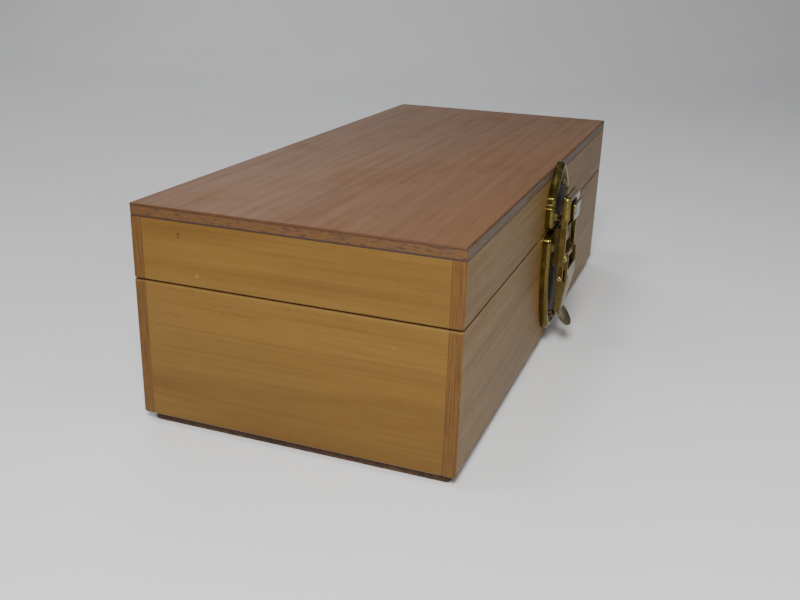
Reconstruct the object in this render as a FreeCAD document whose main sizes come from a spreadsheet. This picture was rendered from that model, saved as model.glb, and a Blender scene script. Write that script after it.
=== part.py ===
import FreeCAD, Part
import Sketcher
import math
import os

from FreeCAD import Placement, Rotation, Vector

# A hinged wooden box with a brass draw catch, in millimetres.
# The origin is the middle of the underside of the bottom board. +X runs along the box, the catch is on
# the -Y side, the hinges are on the +Y side and +Z is up.

os.makedirs("parts", exist_ok=True)
doc = FreeCAD.newDocument("HingedBox")
sheet = doc.addObject("Spreadsheet::Sheet", "Sizes")

DRIVING = {
    # carcass
    "boxLength": 236,
    "boxWidth": 106,
    "panelThickness": 8,
    "tongueThickness": 4.1,      # what is left of a long panel outside the rabbet for the end
    "boardThickness": 3,
    "boardInset": 2.5,
    "baseHeight": 46.1,
    "seamGap": 0.3,
    "lidHeight": 19.6,
    "veneerThickness": 0.6,
    "coreThickness": 2.8,
    "arrisRadius": 0.8,
    # brads that hold the bottom board
    "bradLine": 4.7,             # from the outer face of the carcass
    "bradRadius": 0.7,
    "bradHeadRadius": 1.2,
    "bradHeadDepth": 0.6,
    "bradRecess": 0.1,
    "bradLength": 12,
    # butt hinges, let into the seam flush with the wood
    "hingePlace": 72,            # from the middle of the box to the middle of a hinge
    "hingeLength": 25,
    "hingeOffset": 2.2,          # from the back face to the pin
    "leafThickness": 1.1,
    "leafReach": 8.7,            # from the pin to the leaf's far edge
    "leafRoot": 1.4,             # from the pin to where the leaf enters its knuckles
    "knuckleRadius": 1.9,
    "knuckleCount": 5,
    "knuckleGap": 0.3,
    "hingePinRadius": 1.0,
    "runningClearance": 0.05,
    "hingeScrewPlace": 7.5,      # along the hinge, from its middle
    "hingeScrewReach": 5.6,      # from the pin
    "hingeScrewHeadRadius": 1.7,
    "screwRadius": 0.9,
    "hingeScrewLength": 6,
    "slotWidth": 0.5,
    "slotDepth": 0.4,
    # catch: "out" is measured from the front face, heights from the lower edge of the carcass
    "sheetThickness": 0.8,
    "plateDepth": 3,
    "plateRimRadius": 1.1,
    "capScrewHeadRadius": 1.9,
    "capScrewHeadHeight": 1.2,
    "capScrewReach": 6,          # into the wood
    # catch base plate
    "plateTop": 45.7,
    "plateHalfWidth": 15.4,
    "plateTaperStart": 32,
    "plateSideRadius": 36.3,
    "plateFootHalfWidth": 6.8,
    "plateFootHeight": 8.1,
    "plateFootRadius": 9.05,
    "plateBottom": 5,
    "plateScrewSide": 11.6,
    "plateScrewHeight": 40.8,
    "plateScrewFoot": 10.6,
    # strike plate
    "strikeBottom": 48.2,
    "strikeHalfWidth": 15.3,
    "strikeShoulder": 59.7,
    "strikeStep": 1.6,
    "strikeApexHalfWidth": 2.5,
    "strikeApexShoulder": 70.2,
    "strikeApexRadius": 3.85,
    "strikeScrewSide": 11.8,
    "strikeScrewHeight": 53,
    "strikeScrewTop": 64,
    # hook, one piece with the strike plate
    "hookHalfWidth": 6.5,
    "hookBottom": 49.4,
    "hookThickness": 1,
    "hookElbowOut": 9.1,
    "hookElbowRadius": 1.4,
    "hookTipOut": 9.4,
    "hookTip": 57.4,
    # pivot bracket
    "earHalfWidth": 7.8,
    "earFoot": 32.5,
    "earOut": 6.3,
    "earWebBottom": 41,
    "earTop": 47.4,
    # lever and its two pins
    "pivotOut": 7.2,
    "pivotHeight": 36.2,
    "pivotPinRadius": 0.8,
    "pivotHeadRadius": 1.3,
    "pivotHeadThickness": 0.4,
    "pivotHeadPlace": 8.9,
    "linkPinOut": 6.3,
    "linkPinHeight": 28.6,
    "linkPinRadius": 0.55,
    "linkPinHalfLength": 9.2,
    "lugRadius": 1.7,
    "leverHalfWidth": 8.8,
    "leverWebTop": 31.8,
    "leverKnee": 27,
    "leverFoot": 13.6,
    "leverFootOut": 6.7,
    "leverFootInner": 4.3,
    "leverFootHalfWidth": 4,
    "tabHalfWidth": 5.8,
    "tabHalfLength": 4.7,
    "tabOut": 7.8,
    "tabHeight": 10.8,
    "tabTilt": 34,
    # link
    "linkHalfWidth": 10.4,
    "armDepth": 2.6,
    "armEnd": 26.5,
    "linkBarBottom": 51,
    "rollRadius": 1.5,
    "rollHeight": 58.8,
    "rivetHeadRadius": 0.9,
    "rivetHeadThickness": 0.35,
}

for row, (alias, number) in enumerate(DRIVING.items(), start=1):
    sheet.set(f"A{row}", alias)
    sheet.set(f"B{row}", str(number))
    sheet.setAlias(f"B{row}", alias)
doc.recompute()

BASE_LOW = "Sizes.boardThickness"
BASE_TOP = "(Sizes.boardThickness + Sizes.baseHeight)"
LID_LOW = f"({BASE_TOP} + Sizes.seamGap)"
LID_TOP = f"({LID_LOW} + Sizes.lidHeight)"
FRONT = "(Sizes.boxWidth / 2)"
HALF_LENGTH = "(Sizes.boxLength / 2)"
HINGE_Y = f"({FRONT} + Sizes.hingeOffset)"
HINGE_Z = f"({BASE_TOP} + Sizes.seamGap / 2)"

subParts = []


def value(expression):
    """The number that an expression on the sheet's names gives."""
    return float(sheet.evalExpression(expression.replace("Sizes.", "")))


def bind(thing, **bindings):
    """Ties properties to the sheet. A double underscore in a name stands for a dot."""
    for prop, expression in bindings.items():
        thing.setExpression(prop.replace("__", "."), expression)
    return thing


def keep(thing, label):
    """Marks an object as a sub-part of the box under its own name."""
    thing.Label = label
    subParts.append(thing)
    return thing


# ---------------------------------------------------------------- sketches


def place(thing, x="0", y="0", z="0", rotation=None):
    if rotation is not None:
        thing.Placement = Placement(Vector(), rotation)
    for axis, expression in (("x", x), ("y", y), ("z", z)):
        thing.setExpression(f"Placement.Base.{axis}", expression)
    return thing


def sketchIn(body, name, role, x="0", y="0", z="0", rotation=Rotation()):
    """A sketch on one of the body's origin planes, shifted and turned in that plane's own axes."""
    sketch = body.newObject("Sketcher::SketchObject", name)
    plane = next(f for f in body.Origin.OriginFeatures if f.Role == role)
    sketch.AttachmentSupport = [(plane, "")]
    sketch.MapMode = "FlatFace"
    sketch.AttachmentOffset = Placement(Vector(), rotation)
    for axis, expression in (("x", x), ("y", y), ("z", z)):
        sketch.setExpression(f"AttachmentOffset.Base.{axis}", expression)
    return sketch


def arcPoint(start, end, radius):
    """The middle of an arc that bulges to the right of the way from start to end."""
    chord = end - start
    half = chord.Length / 2
    rise = radius - math.sqrt(max(radius * radius - half * half, 0))
    outward = Vector(chord.y, -chord.x, 0).normalize()
    return (start + end) / 2 + outward * rise


def outline(sketch, corners):
    """A closed profile, drawn anticlockwise. A corner is (x, y) or (x, y, radius), and with a radius the
    side to the next corner is a convex arc. Every corner and radius is tied to the sheet."""
    points = [Vector(value(corner[0]), value(corner[1]), 0) for corner in corners]
    first = sketch.GeometryCount
    count = len(corners)
    for n, corner in enumerate(corners):
        start, end = points[n], points[(n + 1) % count]
        if len(corner) == 3:
            middle = arcPoint(start, end, value(corner[2]))
            sketch.addGeometry(Part.Arc(start, middle, end), False)
        else:
            sketch.addGeometry(Part.LineSegment(start, end), False)
    for n, corner in enumerate(corners):
        side, following = first + n, first + (n + 1) % count
        sketch.addConstraint(Sketcher.Constraint("Coincident", side, 2, following, 1))
        for kind, expression in (("DistanceX", corner[0]), ("DistanceY", corner[1])):
            if expression == "0":
                axis = -2 if kind == "DistanceX" else -1
                sketch.addConstraint(Sketcher.Constraint("PointOnObject", side, 1, axis))
                continue
            number = value(expression)
            index = sketch.addConstraint(Sketcher.Constraint(kind, -1, 1, side, 1, number))
            sketch.setExpression(f"Constraints[{index}]", expression)
        if len(corner) == 3:
            radius = Sketcher.Constraint("Radius", side, value(corner[2]))
            index = sketch.addConstraint(radius)
            sketch.setExpression(f"Constraints[{index}]", corner[2])
    return sketch


def rectangle(sketch, left, low, right, high):
    return outline(sketch, [(left, low), (right, low), (right, high), (left, high)])


def circle(sketch, x, y, radius):
    centre = Vector(value(x), value(y), 0)
    index = sketch.addGeometry(Part.Circle(centre, Vector(0, 0, 1), value(radius)), False)
    for kind, expression in (("DistanceX", x), ("DistanceY", y)):
        if expression == "0":
            axis = -2 if kind == "DistanceX" else -1
            sketch.addConstraint(Sketcher.Constraint("PointOnObject", index, 3, axis))
            continue
        number = sketch.addConstraint(
            Sketcher.Constraint(kind, -1, 1, index, 3, value(expression)))
        sketch.setExpression(f"Constraints[{number}]", expression)
    number = sketch.addConstraint(Sketcher.Constraint("Radius", index, value(radius)))
    sketch.setExpression(f"Constraints[{number}]", radius)
    return sketch


def mirrored(half):
    """The whole profile from its right half, which is listed from the bottom to the top."""
    left = []
    for n in range(len(half) - 1, -1, -1):
        x, y = half[n][:2]
        if x == "0":               # a corner on the middle line has no twin
            continue
        arc = half[n - 1][2:] if n else ()
        left.append((f"-({x})", y) + arc)
    return half + left


# ---------------------------------------------------------------- body features


def newBody(label):
    return keep(doc.addObject("PartDesign::Body", label), label)


def pad(body, sketch, length, midplane=False):
    feature = body.newObject("PartDesign::Pad", sketch.Name + "Pad")
    feature.Profile = sketch
    if midplane:
        feature.SideType = "Symmetric"
    feature.setExpression("Length", length)
    sketch.Visibility = False
    doc.recompute()
    return feature


def pocket(body, sketch, depth, along=False):
    """A pocket cuts against its sketch's normal, or along it. It has to take something away."""
    before = body.Shape.Volume
    feature = body.newObject("PartDesign::Pocket", sketch.Name + "Pocket")
    feature.Profile = sketch
    feature.Reversed = along
    feature.setExpression("Length", depth)
    doc.recompute()
    if body.Shape.Volume >= before - 1e-6:
        raise RuntimeError(f"{feature.Name} of {body.Label} cuts nothing")
    return feature


def edgeNames(shape, test):
    return [f"Edge{n}" for n, edge in enumerate(shape.Edges, start=1) if test(edge)]


def fillet(body, test, radius):
    base = body.Tip
    feature = body.newObject("PartDesign::Fillet", body.Name + "Fillet")
    feature.Base = (base, edgeNames(base.Shape, test))
    feature.setExpression("Radius", radius)
    doc.recompute()
    return feature


# ---------------------------------------------------------------- primitives


def cylinder(name, radius, height, x="0", y="0", z="0", rotation=None):
    thing = doc.addObject("Part::Cylinder", name)
    bind(thing, Radius=radius, Height=height)
    return place(thing, x, y, z, rotation)


def cone(name, lowRadius, highRadius, height, x="0", y="0", z="0", rotation=None):
    thing = doc.addObject("Part::Cone", name)
    bind(thing, Radius1=lowRadius, Radius2=highRadius, Height=height)
    return place(thing, x, y, z, rotation)


def block(name, length, width, height, x="0", y="0", z="0"):
    thing = doc.addObject("Part::Box", name)
    bind(thing, Length=length, Width=width, Height=height)
    return place(thing, x, y, z)


def fuse(name, *things):
    thing = doc.addObject("Part::MultiFuse", name)
    thing.Shapes = list(things)
    thing.Refine = True
    return thing


def cut(name, base, tool):
    thing = doc.addObject("Part::Cut", name)
    thing.Base, thing.Tool = base, tool
    thing.Refine = True
    return thing


def common(name, first, second):
    thing = doc.addObject("Part::MultiCommon", name)
    thing.Shapes = [first, second]
    return thing


def compound(name, things):
    thing = doc.addObject("Part::Compound", name)
    thing.Links = list(things)
    return thing


ALONG_X = Rotation(Vector(0, 1, 0), 90)
OUTWARD = Rotation(Vector(1, 0, 0), 90)        # local Z to -Y, out of the front face
SIDE_VIEW = Rotation(Vector(0, 1, 0), 180)     # on the YZ plane: local X to -Y, local Y to +Z


# ---------------------------------------------------------------- carcass


def longPanel(label, low, height, side):
    """A long panel whose ends are rabbeted for the short panels. side is 1 at the back, -1 at the front."""
    body = newBody(label)
    face = FRONT
    inner = f"({FRONT} - Sizes.panelThickness)"
    shoulder = f"({FRONT} - Sizes.tongueThickness)"
    neck = f"({HALF_LENGTH} - Sizes.panelThickness)"
    half = [("0", inner), (neck, inner), (neck, shoulder), (HALF_LENGTH, shoulder),
            (HALF_LENGTH, face), ("0", face)]
    corners = mirrored(half)
    turn = Rotation(Vector(0, 0, 1), 0 if side > 0 else 180)
    sketch = sketchIn(body, label + "Plan", "XY_Plane", z=low, rotation=turn)
    outline(sketch, corners)
    pad(body, sketch, height)
    reach = value(FRONT)
    end = value(HALF_LENGTH)

    def outerArris(edge):
        middle = edge.CenterOfMass
        upright = edge.BoundBox.ZLength > edge.BoundBox.XLength + edge.BoundBox.YLength
        return upright and abs(abs(middle.x) - end) < 0.01 and abs(abs(middle.y) - reach) < 0.01

    fillet(body, outerArris, "Sizes.arrisRadius")
    return body


def endPanel(label, low, height, side):
    """A short panel between the rabbets. side is 1 at +X, -1 at -X."""
    body = newBody(label)
    turn = Rotation(Vector(0, 0, 1), 0 if side > 0 else 180)
    sketch = sketchIn(body, label + "Plan", "XY_Plane", z=low, rotation=turn)
    reach = f"({FRONT} - Sizes.tongueThickness)"
    rectangle(sketch, f"{HALF_LENGTH} - Sizes.panelThickness", f"-{reach}", HALF_LENGTH, reach)
    pad(body, sketch, height)
    return body


def pilotHoles(body, name, places, radius, depth, role="XY_Plane", z="0", along=False, y="0"):
    sketch = sketchIn(body, name, role, y=y, z=z)
    for x, across in places:
        circle(sketch, x, across, radius)
    return pocket(body, sketch, depth, along)


def hingeRecess(body, name, z, along):
    """Two shallow recesses in the seam face of a back panel, one for each hinge leaf."""
    sketch = sketchIn(body, name, "XY_Plane", z=z)
    for place_ in ("-Sizes.hingePlace", "Sizes.hingePlace"):
        rectangle(sketch, f"{place_} - Sizes.hingeLength / 2", f"{HINGE_Y} - Sizes.leafReach",
                  f"{place_} + Sizes.hingeLength / 2", f"{FRONT} + Sizes.panelThickness")
    pocket(body, sketch, "Sizes.leafThickness", along)


baseFront = longPanel("base_front_panel", BASE_LOW, "Sizes.baseHeight", -1)
baseBack = longPanel("base_back_panel", BASE_LOW, "Sizes.baseHeight", 1)
baseLeft = endPanel("base_left_end", BASE_LOW, "Sizes.baseHeight", -1)
baseRight = endPanel("base_right_end", BASE_LOW, "Sizes.baseHeight", 1)
lidFront = longPanel("lid_front_panel", LID_LOW, "Sizes.lidHeight", -1)
lidBack = longPanel("lid_back_panel", LID_LOW, "Sizes.lidHeight", 1)
endPanel("lid_left_end", LID_LOW, "Sizes.lidHeight", -1)
endPanel("lid_right_end", LID_LOW, "Sizes.lidHeight", 1)

topLow = LID_TOP
for label, thickness in (("lid_top_back_veneer", "Sizes.veneerThickness"),
                         ("lid_top_core", "Sizes.coreThickness"),
                         ("lid_top_face_veneer", "Sizes.veneerThickness")):
    keep(block(label, "Sizes.boxLength", "Sizes.boxWidth", thickness,
               f"-{HALF_LENGTH}", f"-{FRONT}", topLow), label)
    topLow = f"({topLow} + {thickness})"

board = newBody("bottom_board")
boardPlan = sketchIn(board, "boardPlan", "XY_Plane")
boardX = f"({HALF_LENGTH} - Sizes.boardInset)"
boardY = f"({FRONT} - Sizes.boardInset)"
rectangle(boardPlan, f"-{boardX}", f"-{boardY}", boardX, boardY)
pad(board, boardPlan, "Sizes.boardThickness")


# ---------------------------------------------------------------- bottom board brads

bradX = f"({HALF_LENGTH} - Sizes.bradLine)"
bradY = f"({FRONT} - Sizes.bradLine)"
LONG_SIDE = [f"{sign}Sizes.boxLength * {share}" for sign in ("-", "") for share in ("0.15", "0.42")]
SHORT_SIDE = [f"{sign}Sizes.boxWidth * 0.2" for sign in ("-", "")]
bradPlaces = {
    baseFront: [(x, f"-{bradY}") for x in LONG_SIDE],
    baseBack: [(x, bradY) for x in LONG_SIDE],
    baseLeft: [(f"-{bradX}", y) for y in SHORT_SIDE],
    baseRight: [(bradX, y) for y in SHORT_SIDE],
}
allBrads = [spot for places in bradPlaces.values() for spot in places]
bradEnd = "Sizes.bradRecess + Sizes.bradLength"
for body, places in bradPlaces.items():
    pilotHoles(body, body.Name + "BradHoles", places, "Sizes.bradRadius",
               f"{bradEnd} - Sizes.boardThickness", z=BASE_LOW, along=True)
pilotHoles(board, "boardBradHoles", allBrads, "Sizes.bradRadius", "Sizes.boardThickness", along=True)
pilotHoles(board, "boardBradHeads", allBrads, "Sizes.bradHeadRadius",
           "Sizes.bradRecess + Sizes.bradHeadDepth", along=True)

brads = []
for n, (x, y) in enumerate(allBrads):
    head = cylinder(f"bradHead{n}", "Sizes.bradHeadRadius", "Sizes.bradHeadDepth",
                    x, y, "Sizes.bradRecess")
    shank = cylinder(f"bradShank{n}", "Sizes.bradRadius", "Sizes.bradLength",
                     x, y, "Sizes.bradRecess")
    brads.append(fuse(f"brad{n}", head, shank))
keep(compound("bottomBrads", brads), "bottom_brads")


# ---------------------------------------------------------------- hinges

HINGE_SIDES = {"left": "-Sizes.hingePlace", "right": "Sizes.hingePlace"}
SCREW_Y = f"({HINGE_Y} - Sizes.hingeScrewReach)"
COUNTERSINK = "(Sizes.hingeScrewHeadRadius - Sizes.screwRadius)"


def hingeScrewSpots():
    for side, middle in HINGE_SIDES.items():
        for n, sign in enumerate("-+"):
            yield f"{side}{n}", f"({middle} {sign} Sizes.hingeScrewPlace)"


def countersunk(name, x, z, upsideDown, length):
    """A cylinder under a cone, its wide face at z. It is the shape of a screw and of its hole."""
    turn = Rotation(Vector(1, 0, 0), 0 if upsideDown else 180)
    shank = cylinder(name + "Shank", "Sizes.screwRadius", length, x, SCREW_Y, z, turn)
    head = cone(name + "Head", "Sizes.hingeScrewHeadRadius", "Sizes.screwRadius", COUNTERSINK,
                x, SCREW_Y, z, turn)
    return fuse(name, shank, head)


def hingeLeaf(label, middle, seamFace, onLid):
    """A flat leaf and its share of the five knuckles: three on the base, two on the lid."""
    low = seamFace if onLid else f"{seamFace} - Sizes.leafThickness"
    start = f"({middle} - Sizes.hingeLength / 2)"
    pieces = [block(label + "Flat", "Sizes.hingeLength", "Sizes.leafReach - Sizes.leafRoot",
                    "Sizes.leafThickness", start, f"{HINGE_Y} - Sizes.leafReach", low)]
    step = "(Sizes.hingeLength / Sizes.knuckleCount)"
    gaps = []
    for n in range(int(value("Sizes.knuckleCount"))):
        at = f"({start} + {n} * {step} + Sizes.knuckleGap / 2)"
        span = f"({step} - Sizes.knuckleGap)"
        if n % 2 == int(onLid):
            pieces.append(cylinder(f"{label}Knuckle{n}", "Sizes.knuckleRadius", span,
                                   at, HINGE_Y, HINGE_Z, ALONG_X))
        else:
            room = "(Sizes.knuckleRadius + Sizes.knuckleGap)"
            gaps.append(cylinder(f"{label}Gap{n}", room, f"{step} + Sizes.knuckleGap",
                                 f"{at} - Sizes.knuckleGap", HINGE_Y, HINGE_Z, ALONG_X))
    bore = "Sizes.hingePinRadius" + (" + Sizes.runningClearance" if onLid else "")
    gaps.append(cylinder(label + "Bore", bore, "Sizes.hingeLength", start, HINGE_Y, HINGE_Z, ALONG_X))
    for n, sign in enumerate("-+"):
        x = f"({middle} {sign} Sizes.hingeScrewPlace)"
        gaps.append(countersunk(f"{label}Hole{n}", x, seamFace, onLid, "Sizes.leafThickness"))
    whole = fuse(label + "Whole", *pieces)
    return keep(cut(label, whole, fuse(label + "Cuts", *gaps)), label)


def hingeScrew(name, x, z, onLid):
    screw = countersunk(name + "Blank", x, z, onLid, "Sizes.hingeScrewLength")
    low = z if onLid else f"{z} - Sizes.slotDepth"
    slot = block(name + "Slot", "2 * Sizes.hingeScrewHeadRadius", "Sizes.slotWidth", "Sizes.slotDepth",
                 f"{x} - Sizes.hingeScrewHeadRadius", f"{SCREW_Y} - Sizes.slotWidth / 2", low)
    return cut(name, screw, slot)


hingeRecess(baseBack, "baseRecess", BASE_TOP, False)
hingeRecess(lidBack, "lidRecess", LID_LOW, True)
screwLines = [(x, SCREW_Y) for _, x in hingeScrewSpots()]
for body, face, into in ((baseBack, BASE_TOP, False), (lidBack, LID_LOW, True)):
    pilotHoles(body, body.Name + "ScrewHoles", screwLines, "Sizes.screwRadius",
               "Sizes.hingeScrewLength", z=face, along=into)

for side, middle in HINGE_SIDES.items():
    hingeLeaf(f"{side}_hinge_base_leaf", middle, BASE_TOP, False)
    hingeLeaf(f"{side}_hinge_lid_leaf", middle, LID_LOW, True)
    pin = cylinder(f"{side}HingePin", "Sizes.hingePinRadius", "Sizes.hingeLength",
                   f"{middle} - Sizes.hingeLength / 2", HINGE_Y, HINGE_Z, ALONG_X)
    keep(pin, f"{side}_hinge_pin")

for label, face, onLid in (("hinge_base_screws", BASE_TOP, False), ("hinge_lid_screws", LID_LOW, True)):
    screws = [hingeScrew(f"{label}{name}", x, face, onLid) for name, x in hingeScrewSpots()]
    keep(compound(label + "Group", screws), label)


# ---------------------------------------------------------------- plates of the catch


def frontSketch(body, name):
    """A sketch on the front face of the carcass: across, and up from the carcass's lower edge."""
    return sketchIn(body, name, "XZ_Plane", y=BASE_LOW, z=FRONT)


def dishedPlate(label, half):
    """A sheet plate with a rounded rim that is turned back to the wood, hollow behind."""
    body = newBody(label)
    outline(frontSketch(body, label + "Outline"), mirrored(half))
    pad(body, body.Group[0], "Sizes.plateDepth")
    face = -value(FRONT) - value("Sizes.plateDepth")
    fillet(body, lambda edge: abs(edge.BoundBox.YMin - face) < 0.01 and edge.BoundBox.YLength < 0.01,
           "Sizes.plateRimRadius")
    hollow = body.newObject("PartDesign::Thickness", label + "Hollow")
    base = body.Group[-2]
    back = -value(FRONT)
    names = [f"Face{n}" for n, wall in enumerate(base.Shape.Faces, start=1)
             if abs(wall.CenterOfMass.y - back) < 0.01]
    hollow.Base = (base, names)
    hollow.Reversed = True
    hollow.setExpression("Value", "Sizes.sheetThickness")
    doc.recompute()
    return body


def screwHoles(body, places):
    """Holes straight through a plate, for round-headed screws."""
    sketch = frontSketch(body, body.Name + "Holes")
    for x, z in places:
        circle(sketch, x, z, "Sizes.screwRadius")
    pocket(body, sketch, "Sizes.plateDepth", True)


def capScrew(name, x, height):
    """A slotted screw with a low domed head on the plate's face."""
    z = f"{BASE_LOW} + {height}"
    rise, radius = "Sizes.capScrewHeadHeight", "Sizes.capScrewHeadRadius"
    ball = f"(({radius} * {radius} + {rise} * {rise}) / (2 * {rise}))"
    sphere = bind(doc.addObject("Part::Sphere", name + "Ball"), Radius=ball)
    place(sphere, x, f"-({FRONT} + Sizes.plateDepth + {rise} - {ball})", z)
    drum = cylinder(name + "Drum", radius, rise, x, f"-({FRONT} + Sizes.plateDepth)", z, OUTWARD)
    dome = common(name + "Dome", sphere, drum)
    slot = block(name + "Slot", f"2 * {radius}", "Sizes.slotDepth", "Sizes.slotWidth",
                 f"{x} - {radius}", f"-({FRONT} + Sizes.plateDepth + {rise})",
                 f"{z} - Sizes.slotWidth / 2")
    shank = cylinder(name + "Shank", "Sizes.screwRadius", "Sizes.plateDepth + Sizes.capScrewReach",
                     x, f"-{FRONT} + Sizes.capScrewReach", z, OUTWARD)
    return fuse(name, cut(name + "Head", dome, slot), shank)


def capScrews(label, panel, plate, places):
    screwHoles(plate, places)
    sketch = frontSketch(panel, label + "Pilots")
    for x, z in places:
        circle(sketch, x, z, "Sizes.screwRadius")
    pocket(panel, sketch, "Sizes.capScrewReach")
    screws = [capScrew(f"{label}{n}", x, z) for n, (x, z) in enumerate(places)]
    keep(compound(label + "Group", screws), label)


basePlate = dishedPlate("latch_base_plate", [
    ("0", "Sizes.plateBottom", "Sizes.plateFootRadius"),
    ("Sizes.plateFootHalfWidth", "Sizes.plateFootHeight", "Sizes.plateSideRadius"),
    ("Sizes.plateHalfWidth", "Sizes.plateTaperStart"),
    ("Sizes.plateHalfWidth", "Sizes.plateTop"),
    ("0", "Sizes.plateTop"),
])

strikePlate = dishedPlate("strike_plate", [
    ("0", "Sizes.strikeBottom"),
    ("Sizes.strikeHalfWidth", "Sizes.strikeBottom"),
    ("Sizes.strikeHalfWidth", "Sizes.strikeShoulder"),
    ("Sizes.strikeHalfWidth - Sizes.strikeStep", "Sizes.strikeShoulder + Sizes.strikeStep / 2"),
    ("Sizes.strikeApexHalfWidth", "Sizes.strikeApexShoulder", "Sizes.strikeApexRadius"),
])


def sideSketch(body, name):
    """A sketch seen from the end of the box: out from the front face, and up from the carcass's edge."""
    return sketchIn(body, name, "YZ_Plane", x=f"-{FRONT}", y=BASE_LOW, rotation=SIDE_VIEW)


hookTop = "(Sizes.hookBottom + Sizes.hookThickness)"
hookInner = "(Sizes.hookElbowOut - Sizes.hookThickness)"
hookSide = sideSketch(strikePlate, "hookSide")
outline(hookSide, [
    ("Sizes.plateDepth - Sizes.sheetThickness / 2", "Sizes.hookBottom"),
    ("Sizes.hookElbowOut - Sizes.hookElbowRadius", "Sizes.hookBottom", "Sizes.hookElbowRadius"),
    ("Sizes.hookElbowOut", "Sizes.hookBottom + Sizes.hookElbowRadius"),
    ("Sizes.hookTipOut", "Sizes.hookTip"),
    ("Sizes.hookTipOut - Sizes.hookThickness", "Sizes.hookTip"),
    (hookInner, f"{hookTop} + Sizes.hookThickness"),
    (f"{hookInner} - Sizes.hookThickness / 2", hookTop),
    ("Sizes.plateDepth - Sizes.sheetThickness / 2", hookTop),
])
pad(strikePlate, hookSide, "2 * Sizes.hookHalfWidth", midplane=True)

capScrews("strike_screws", lidFront, strikePlate, [
    ("-Sizes.strikeScrewSide", "Sizes.strikeScrewHeight"),
    ("Sizes.strikeScrewSide", "Sizes.strikeScrewHeight"),
    ("0", "Sizes.strikeScrewTop"),
])
capScrews("latch_base_screws", baseFront, basePlate, [
    ("-Sizes.plateScrewSide", "Sizes.plateScrewHeight"),
    ("Sizes.plateScrewSide", "Sizes.plateScrewHeight"),
    ("0", "Sizes.plateScrewFoot"),
])


# ---------------------------------------------------------------- pivot bracket


def boreAcross(body, name, out, height, radius):
    """A round hole right across the catch, along X."""
    sketch = sideSketch(body, name)
    circle(sketch, out, height, radius)
    feature = body.newObject("PartDesign::Pocket", name + "Pocket")
    before = body.Shape.Volume
    feature.Profile = sketch
    feature.Type = "ThroughAll"
    feature.SideType = "Symmetric"
    doc.recompute()
    if body.Shape.Volume >= before - 1e-6:
        raise RuntimeError(f"{name} cuts nothing")


bracket = newBody("pivot_bracket")
bracketSide = sideSketch(bracket, "bracketSide")
lugLow = "(Sizes.pivotHeight - Sizes.lugRadius)"
lugHigh = "(Sizes.pivotHeight + Sizes.lugRadius)"
outline(bracketSide, [
    ("Sizes.plateDepth", "Sizes.earFoot"),
    ("Sizes.pivotOut", lugLow, "Sizes.lugRadius"),
    ("Sizes.pivotOut + Sizes.lugRadius", "Sizes.pivotHeight", "Sizes.lugRadius"),
    ("Sizes.pivotOut", lugHigh),
    ("Sizes.earOut", f"{lugHigh} + Sizes.sheetThickness"),
    ("Sizes.earOut", "Sizes.earTop"),
    ("Sizes.plateDepth", "Sizes.earTop"),
])
pad(bracket, bracketSide, "2 * Sizes.earHalfWidth", midplane=True)
earInner = "(Sizes.earHalfWidth - Sizes.sheetThickness)"
bracketGap = frontSketch(bracket, "bracketGap")
rectangle(bracketGap, f"-{earInner}", "Sizes.earFoot - Sizes.lugRadius", earInner, "Sizes.earWebBottom")
pocket(bracket, bracketGap, "Sizes.plateDepth + Sizes.pivotOut + Sizes.lugRadius", True)
bracketHollow = frontSketch(bracket, "bracketHollow")
rectangle(bracketHollow, f"-{earInner}", "Sizes.earWebBottom", earInner, "Sizes.earTop")
pocket(bracket, bracketHollow, "Sizes.earOut - Sizes.sheetThickness", True)
boreAcross(bracket, "bracketBore", "Sizes.pivotOut", "Sizes.pivotHeight", "Sizes.pivotPinRadius")


def pinAcross(name, radius, halfLength, out, height):
    """A round pin along X, centred on the catch."""
    return cylinder(name, radius, f"2 * {halfLength}", f"-{halfLength}", f"-({FRONT} + {out})",
                    f"{BASE_LOW} + {height}", ALONG_X)


pivot = [pinAcross("pivotShank", "Sizes.pivotPinRadius", "Sizes.pivotHeadPlace",
                   "Sizes.pivotOut", "Sizes.pivotHeight")]
for n, start in enumerate(("Sizes.pivotHeadPlace", "-Sizes.pivotHeadPlace - Sizes.pivotHeadThickness")):
    pivot.append(cylinder(f"pivotHead{n}", "Sizes.pivotHeadRadius", "Sizes.pivotHeadThickness", start,
                          f"-({FRONT} + Sizes.pivotOut)", f"{BASE_LOW} + Sizes.pivotHeight", ALONG_X))
keep(fuse("leverPivotPin", *pivot), "lever_pivot_pin")
keep(pinAcross("leverLinkPin", "Sizes.linkPinRadius", "Sizes.linkPinHalfLength",
               "Sizes.linkPinOut", "Sizes.linkPinHeight"), "lever_link_pin")


# ---------------------------------------------------------------- lever


def sidePrism(name, corners, halfWidth):
    """The profile seen from the end of the box, as wide as the piece, centred on the catch."""
    sketch = doc.addObject("Sketcher::SketchObject", name + "Sketch")
    turn = Rotation(Vector(0, -1, 0), Vector(0, 0, 1), Vector(-1, 0, 0), "ZXY")
    place(sketch, "0", f"-{FRONT}", BASE_LOW, turn)
    outline(sketch, corners)
    prism = doc.addObject("Part::Extrusion", name)
    prism.Base, prism.DirMode, prism.Solid, prism.Symmetric = sketch, "Normal", True, True
    prism.setExpression("LengthFwd", f"2 * {halfWidth}")
    return prism


def frontPrism(name, half, depth):
    """The profile seen from the front, from the carcass's face out to depth."""
    sketch = doc.addObject("Sketcher::SketchObject", name + "Sketch")
    place(sketch, "0", f"-{FRONT}", BASE_LOW, OUTWARD)
    outline(sketch, mirrored(half))
    prism = doc.addObject("Part::Extrusion", name)
    prism.Base, prism.DirMode, prism.Solid = sketch, "Normal", True
    prism.setExpression("LengthFwd", depth)
    return prism


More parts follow.
